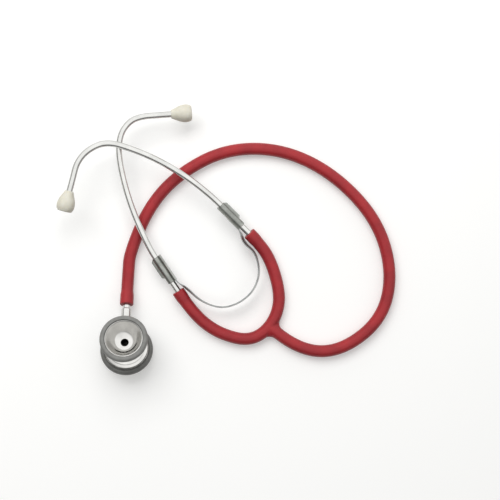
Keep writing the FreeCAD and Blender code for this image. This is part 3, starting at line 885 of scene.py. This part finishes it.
def clip_section(angle, station, wrap):
    """The distance from the tube's axis to the clip's outside, at an angle from its outer side.

    It is the largest of three: the sleeve's radius; the pinched edge, which is min(reach / cos a, the line
    that thins outwards from its half thickness at the sleeve); and, on the inner side, the fold round the
    leaf spring, min(wall / cos b, half height / sin b) with b the angle from that side.
    """
    outer = np.abs((angle + math.pi) % (2 * math.pi) - math.pi)
    inner = math.pi - outer
    slant_in = np.clip((station - PINCH_START) / PINCH_SLANT, 0, 1)
    slant_out = np.clip((PINCH_END - station) / PINCH_SLANT, 0, 1)
    reach = CLIP_R + (PINCH_REACH - CLIP_R) * np.minimum(slant_in, slant_out)
    thinning = (PINCH_HALF + PINCH_TAPER * CLIP_R) / (np.sin(outer) + PINCH_TAPER * np.cos(outer))
    pinch = np.minimum(reach / np.maximum(np.cos(outer), LEAST_COSINE), thinning)
    pinch = np.where((outer < PINCH_WINDOW) & (station > PINCH_START) & (station < PINCH_END), pinch, 0)
    wall = wrap / np.maximum(np.cos(inner), LEAST_COSINE)
    top = CLIP_WRAP_HALF / np.maximum(np.sin(inner), LEAST_COSINE)
    fold = np.where(inner < CLIP_WRAP_ANGLE, np.minimum(wall, top), 0)
    return np.maximum(CLIP_R, np.maximum(pinch, fold))


# Nickel-plated spring steel, rolled and pressed: satin, with fine rolling lines along it.
STEEL_PALE = "#9A9C97"
STEEL_DEEP = "#838580"
STEEL_GLOSS = (0.26, 0.38)
STEEL_SMEAR_MM = 6.0
STEEL_LINE_MM = 0.35
STEEL_LINE_DEPTH_MM = 0.004
steel = metal_finish(
    "rolled_spring_steel",
    STEEL_DEEP,
    STEEL_PALE,
    *STEEL_GLOSS,
    STEEL_SMEAR_MM,
    STEEL_LINE_MM,
    ALONG,
    STEEL_LINE_DEPTH_MM,
)
clip_angle = np.radians(np.concatenate([np.arange(*span) for span in CLIP_ANGLE_SPANS]))
for side, route, socket, turn, wrap in [
    ("left", LEFT_EAR_ROUTE, BRANCH_ROUTE[0], 1, CLIP_WRAP[0]),
    ("right", RIGHT_EAR_ROUTE, BRANCH_ROUTE[-1], 0, CLIP_WRAP[1]),
]:
    mouth_place = np.array(socket)
    away = np.array(route[1]) - np.array(route[0])
    away /= np.linalg.norm(away)
    stations = np.concatenate(
        [
            [CLIP_START, CLIP_START + CLIP_EDGE],
            np.arange(CLIP_START + CLIP_STEP, CLIP_END - CLIP_EDGE, CLIP_STEP),
            [CLIP_END - CLIP_EDGE, CLIP_END, CLIP_END, CLIP_START],
        ]
    )
    angle = clip_angle + math.pi * turn
    reach = clip_section(clip_angle[None, :], stations[:, None], wrap)
    reach[[0, -3]] -= CLIP_EDGE
    reach[-2:] = CLIP_BORE_R
    section = reach[..., None] * np.stack([np.cos(angle), np.sin(angle)], axis=1)[None]
    line = mouth_place + np.linspace(0, 2 * CLIP_END, CLIP_LINE_POINTS)[:, None] * away
    mesh = carried(f"{side}_clip", line, stations, section, loop=True)
    clip = show(mesh, steel, [f"spring_clip_{side}"])
    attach(clip, f"{side}_ear")

# The leaf spring: one strip of tempered steel on edge, bowed between the clips, its ends flat in them.
# It is made in two halves, which meet where it never moves.
LEAF_HALF_THICK = 0.0004
LEAF_HALF_WIDE = 0.0040
LEAF_EDGE = 0.00025
LEAF_ROUTE = [
    (0.0073, -0.0243, 0.0109),
    (0.0129, -0.0327, 0.0101),
    (0.0151, -0.0360, 0.0098),
    (0.0227, -0.0406, 0.0100),
    (0.0352, -0.0525, 0.0106),
    (0.0547, -0.0585, 0.0109),
    (0.0752, -0.0485, 0.0109),
    (0.0847, -0.0305, 0.0107),
    (0.0812, -0.0110, 0.0103),
    (0.0707, -0.0025, 0.0100),
    (0.0678, 0.0072, 0.0103),
    (0.0644, 0.0105, 0.0109),
    (0.0565, 0.0183, 0.0128),
]
LEAF_MIDDLE = (0.0690, -0.0535, 0.0109)
LEAF_LEFT_BEND = ((0.0600, -0.0580, 0.0109), (0.0170, -0.0380, 0.0100))
LEAF_RIGHT_BEND = ((0.0840, -0.0280, 0.0107), (0.0700, 0.0000, 0.0100))
LEAF_STEP = 0.0010
LEAF_FLAT = 0.0120
LEAF_TURN = 0.0120
LEAF_LEAN = math.radians(8)
LEAF_END_LEAN = math.radians(13)
LEAF_END_FADE = 0.0550
# Tempered steel strip: satin and a little cooler in colour than the clips, with the same rolling lines.
STRIP_PALE = "#A2A5A3"
STRIP_DEEP = "#868A8A"
strip_steel = metal_finish(
    "tempered_strip_steel",
    STRIP_DEEP,
    STRIP_PALE,
    *STEEL_GLOSS,
    STEEL_SMEAR_MM,
    STEEL_LINE_MM,
    ALONG,
    STEEL_LINE_DEPTH_MM,
)
leaf_path = spline_path(LEAF_ROUTE)
leaf_reach = run_along(leaf_path)[-1]
leaf_cut = station_near(leaf_path, LEAF_MIDDLE)
strip = softened(
    [
        (LEAF_HALF_THICK, -LEAF_HALF_WIDE),
        (LEAF_HALF_THICK, LEAF_HALF_WIDE),
        (-LEAF_HALF_THICK, LEAF_HALF_WIDE),
        (-LEAF_HALF_THICK, -LEAF_HALF_WIDE),
    ],
    LEAF_EDGE,
)
for side, begin, end, bend in [
    ("left", 0, leaf_cut, LEAF_LEFT_BEND),
    ("right", leaf_cut, leaf_reach, LEAF_RIGHT_BEND),
]:
    stations = np.linspace(begin, end, int((end - begin) / LEAF_STEP) + 1)
    from_end = np.minimum(stations, leaf_reach - stations)
    end_lean = LEAF_END_LEAN * ease(1 - from_end / LEAF_END_FADE)
    lean = ease((from_end - LEAF_FLAT) / LEAF_TURN) * (LEAF_LEAN + end_lean)
    turned = np.stack([np.cos(lean), np.sin(lean), -np.sin(lean), np.cos(lean)], axis=1).reshape(-1, 2, 2)
    mesh = carried(f"{side}_leaf", leaf_path, stations, strip @ turned)
    leaf = show(mesh, strip_steel, ["leaf_spring"])
    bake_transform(leaf)

# The stem: turned and chromed, with a spigot that the head turns on, a shoulder, a neck and a barb that
# the long tube grips.
TILT = math.radians(22.5)
RIM_R = 0.0221
RIM_EDGE = 0.0014
HEAD_ORIGIN = np.array([-0.0279, -0.0935, (RIM_R - RIM_EDGE) * math.sin(TILT)])
HEAD_AXIS = np.array([0, math.sin(TILT), math.cos(TILT)])
STEM_AXIS = np.array([0, math.cos(TILT), -math.sin(TILT)])
STEM_LEVEL = 0.0175
STEM_ORIGIN = HEAD_ORIGIN + STEM_LEVEL * HEAD_AXIS
STEM_EDGE = 0.0003
STEM_PROFILE = [
    (0.0001, 0.0036),
    (0.0032, 0.0036),
    (0.0032, 0.0173),
    (0.0041, 0.0173),
    (0.0041, 0.0306),
    (0.0032, 0.0312),
    (0.0032, 0.0349),
    (0.00278, 0.0350),
    (0.00278, 0.0409),
    (0.0023, 0.0429),
    (0.0001, 0.0429),
]
STEM_SIDES = 64
# Bright chromium plate on turned brass: mirror-like, with finger marks and faint turning rings.
CHROME_PALE = "#CBCAC7"
CHROME_DEEP = "#B9B8B5"
CHROME_GLOSS = (0.08, 0.16)
CHROME_SMEAR_MM = 9.0
TURNING_LINE_MM = 0.5
TURNING_LINE_DEPTH_MM = 0.0012
stem_chrome = metal_finish(
    "chromed_turned_stem",
    CHROME_DEEP,
    CHROME_PALE,
    *CHROME_GLOSS,
    CHROME_SMEAR_MM,
    TURNING_LINE_MM,
    AROUND,
    TURNING_LINE_DEPTH_MM,
)
stem_profile = softened(STEM_PROFILE, STEM_EDGE)[CORNER_MIDDLE : -CORNER_MIDDLE - 1]
mesh = lathed("turned_stem", stem_profile, STEM_ORIGIN, STEM_AXIS, STEM_SIDES)
stem = show(mesh, stem_chrome, ["stem"])
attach(stem, "root")

# The seal: a moulded nitrile ring in the spigot's groove, which keeps the sound in where the head turns on
# the stem. It is black and slightly greasy.
NITRILE_PALE = "#2E2E2D"
NITRILE_DEEP = "#242423"
NITRILE_CLOUD_MM = 2.0
NITRILE_GRAIN_MM = 0.2
NITRILE_GRAIN_DEPTH_MM = 0.005
NITRILE_ROUGHNESS = 0.40
nitrile, _ = soft_finish(
    "moulded_nitrile",
    NITRILE_DEEP,
    NITRILE_PALE,
    NITRILE_CLOUD_MM,
    NITRILE_GRAIN_MM,
    NITRILE_GRAIN_DEPTH_MM,
    NITRILE_ROUGHNESS,
)
coat(["stem_seal"], nitrile)

# The chest body: a cast and chromed head, with the bell's cup above, a waist with a boss for the stem and
# a flange below for the diaphragm's ring. Heights are along the head's axis, from the foot of that ring.
BODY_SIDES = 128
BODY_EDGE = 0.0005
CUP_FLOOR_R = 0.0046
CUP_FLOOR = 0.0220
CUP_MOUTH_R = 0.0149
CUP_MOUTH = 0.0333
CUP_RINGS = 26
PORT_R = 0.0031
PORT_DEPTH = 0.0085
BODY_PROFILE = [
    (0.0002, 0.0042),
    (0.0170, 0.0016),
    (0.01885, 0.0016),
    (0.01885, 0.00645),
    (0.0182, 0.00725),
    (0.0182, 0.0090),
    (0.0158, 0.0102),
    (0.0157, 0.0106),
    (0.0131, 0.0119),
    (0.0120, 0.0140),
    (0.0120, 0.0203),
    (0.0169, 0.0289),
    (0.0176, 0.0296),
    (0.0176, 0.0303),
    (0.0161, 0.0310),
    (0.0161, 0.0333),
    (0.0154, 0.03365),
]
BOSS_R = 0.0056
BOSS_FROM = 0.0080
BOSS_END = 0.0170
BOSS_BORE_R = 0.00325
BOSS_BORE_DEPTH = 0.0030
# The same plate on the cast and turned head.
body_chrome = metal_finish(
    "chromed_cast_head",
    CHROME_DEEP,
    CHROME_PALE,
    *CHROME_GLOSS,
    CHROME_SMEAR_MM,
    TURNING_LINE_MM,
    AROUND,
    TURNING_LINE_DEPTH_MM,
)
# The sound port is drilled. Its walls and the foot of the hole carry painted shade, a dull dark grey for
# the darkness inside a hole that leads on into the head.
PORT_SHADE_PALE = "#3A3A38"
PORT_SHADE_DEEP = "#1E1E1D"
PORT_SHADE_GLOSS = (0.55, 0.75)
PORT_SHADE_RINGS = 5
port_shade = metal_finish(
    "port_painted_shade",
    PORT_SHADE_DEEP,
    PORT_SHADE_PALE,
    *PORT_SHADE_GLOSS,
    BRASS_SMEAR_MM,
    BRASS_LINE_MM,
    AROUND,
    BRASS_LINE_DEPTH_MM,
)
rise = np.linspace(1, 0, CUP_RINGS)
cup_r = CUP_FLOOR_R + (CUP_MOUTH_R - CUP_FLOOR_R) * rise
cup = np.stack([cup_r, CUP_FLOOR + (CUP_MOUTH - CUP_FLOOR) * rise**2], axis=1)
port_corners = [(CUP_FLOOR_R, CUP_FLOOR), (PORT_R, CUP_FLOOR), (PORT_R, CUP_FLOOR - PORT_DEPTH)]
port = softened(port_corners, BODY_EDGE).reshape(-1, CORNER_POINTS, 2)
outside = softened(BODY_PROFILE, BODY_EDGE)[CORNER_POINTS:-CORNER_POINTS]
body_profile = np.vstack([outside, [BODY_PROFILE[-1]], cup, port[1], [port[2, CORNER_MIDDLE]]])
mesh = lathed("chest_head", body_profile, HEAD_ORIGIN, HEAD_AXIS, BODY_SIDES)
chest_head = show(mesh, body_chrome, ["chest_body"])
# The port's walls and the pole at its foot take the painted shade as a second material.
mesh.materials.append(port_shade)
first_port_shade_ring = len(body_profile) - PORT_SHADE_RINGS
in_port_shade = np.zeros(len(mesh.polygons), int)
in_port_shade[first_port_shade_ring * BODY_SIDES : (len(body_profile) - 1) * BODY_SIDES] = 1
in_port_shade[-BODY_SIDES:] = 1
mesh.polygons.foreach_set("material_index", in_port_shade)
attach(chest_head, "head")
boss_profile = softened(
    [
        (0.0002, BOSS_FROM),
        (BOSS_R, BOSS_FROM),
        (BOSS_R, BOSS_END),
        (BOSS_BORE_R, BOSS_END),
        (BOSS_BORE_R, BOSS_END - BOSS_BORE_DEPTH),
    ],
    BODY_EDGE,
)[CORNER_POINTS:-CORNER_MIDDLE]
mesh = lathed("stem_boss", boss_profile, STEM_ORIGIN, STEM_AXIS, STEM_SIDES)
boss = show(mesh, body_chrome, ["chest_body"])
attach(boss, "head")

# The detent: a hardened ball, a wire spring and a screw, all inside the head. The spring presses the ball
# into the stem's groove. They are of ground steel: bright grey, with fine rings left by the wheel.
BRIGHT_PALE = "#B4B5B6"
BRIGHT_DEEP = "#97989A"
BRIGHT_GLOSS = (0.15, 0.28)
BRIGHT_SMEAR_MM = 2.0
BRIGHT_LINE_MM = 0.2
BRIGHT_LINE_DEPTH_MM = 0.002
bright_steel = metal_finish(
    "ground_bright_steel",
    BRIGHT_DEEP,
    BRIGHT_PALE,
    *BRIGHT_GLOSS,
    BRIGHT_SMEAR_MM,
    BRIGHT_LINE_MM,
    AROUND,
    BRIGHT_LINE_DEPTH_MM,
)
coat(["detent_ball", "detent_spring", "detent_screw"], bright_steel)

# The bell ring: soft grey rubber, moulded and snapped over the bell's rim, so that cold metal doesn't
# touch the skin.
RING_EDGE = 0.0007
BELL_RING_PROFILE = [
    (0.0169, 0.0289),
    (0.0186, 0.0289),
    (0.0199, 0.0302),
    (0.0199, 0.0327),
    (0.0186, 0.0340),
    (0.0161, 0.0340),
    (0.0161, 0.0310),
    (0.0176, 0.0303),
    (0.0176, 0.0296),
]
# Moulded rubber: an even, nearly matt grey, a little clouded, with a fine grain from the mould.
GREY_PALE = "#80807D"
GREY_DEEP = "#747471"
RUBBER_CLOUD_MM = 5.0
RUBBER_GRAIN_MM = 0.4
RUBBER_GRAIN_DEPTH_MM = 0.012
RUBBER_ROUGHNESS = 0.52
grey_rubber, _ = soft_finish(
    "grey_moulded_rubber",
    GREY_DEEP,
    GREY_PALE,
    RUBBER_CLOUD_MM,
    RUBBER_GRAIN_MM,
    RUBBER_GRAIN_DEPTH_MM,
    RUBBER_ROUGHNESS,
)
mesh = lathed(
    "bell_rim_ring", softened(BELL_RING_PROFILE, RING_EDGE), HEAD_ORIGIN, HEAD_AXIS, BODY_SIDES, loop=True
)
bell_rim_ring = show(mesh, grey_rubber, ["bell_ring"])
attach(bell_rim_ring, "head")

# The diaphragm: a thin disc of glass cloth set in resin, which the ring below holds by its rim. It is pale,
# smooth and a little glossy, with the cloth's weave just showing, coarser than life.
LAMINATE_PALE = "#CFC8AE"
LAMINATE_DEEP = "#B3AA8C"
WEAVE_MM = 0.8
WEAVE_WANDER = 0.4
LAMINATE_ROUGHNESS = 0.30
WEAVE_DEPTH_MM = 0.02
film = bpy.data.materials.new("glass_cloth_laminate")
film.use_nodes = True
tree = film.node_tree
tree.nodes.clear()
place = add_node(tree, "ShaderNodeTexCoord").outputs["Object"]
wave = {"Vector": place, "Scale": MM_PER_M / WEAVE_MM / math.tau * 2, "Distortion": WEAVE_WANDER}
warp = add_node(tree, "ShaderNodeTexWave", wave, bands_direction="X")
weft = add_node(tree, "ShaderNodeTexWave", wave, bands_direction="Y")
weave = add_node(
    tree,
    "ShaderNodeMath",
    {0: warp.outputs["Fac"], 1: weft.outputs["Fac"]},
    operation="MULTIPLY",
)
colour = add_node(
    tree,
    "ShaderNodeMix",
    {0: weave.outputs[0], 6: linear(LAMINATE_DEEP), 7: linear(LAMINATE_PALE)},
    data_type="RGBA",
)
relief = add_node(
    tree,
    "ShaderNodeBump",
    {"Height": weave.outputs[0], "Distance": WEAVE_DEPTH_MM / MM_PER_M, "Strength": 1.0},
)
shader = add_node(
    tree,
    "ShaderNodeBsdfPrincipled",
    {
        "Base Color": colour.outputs[2],
        "Normal": relief.outputs["Normal"],
        "Roughness": LAMINATE_ROUGHNESS,
    },
)
add_node(tree, "ShaderNodeOutputMaterial", {"Surface": shader.outputs[0]})
coat(["diaphragm"], film)

# The diaphragm's ring: dark grey rubber over metal, screwed on the flange, with rounded edges. It holds
# the diaphragm by its rim.
RIM_RING_PROFILE = [
    (0.0170, 0.0),
    (0.0207, 0.0),
    (0.0221, 0.0014),
    (0.0221, 0.0048),
    (0.0207, 0.0062),
    (0.0189, 0.0062),
    (0.0189, 0.00115),
    (0.0170, 0.00115),
]
# The same rubber in dark grey.
DARK_PALE = "#70706D"
DARK_DEEP = "#646461"
dark_rubber, _ = soft_finish(
    "dark_moulded_rubber",
    DARK_DEEP,
    DARK_PALE,
    RUBBER_CLOUD_MM,
    RUBBER_GRAIN_MM,
    RUBBER_GRAIN_DEPTH_MM,
    RUBBER_ROUGHNESS,
)
mesh = lathed(
    "screwed_ring", softened(RIM_RING_PROFILE, RING_EDGE), HEAD_ORIGIN, HEAD_AXIS, BODY_SIDES, loop=True
)
screwed_ring = show(mesh, dark_rubber, ["diaphragm_ring"])
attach(screwed_ring, "rim")

bpy.context.view_layer.update()
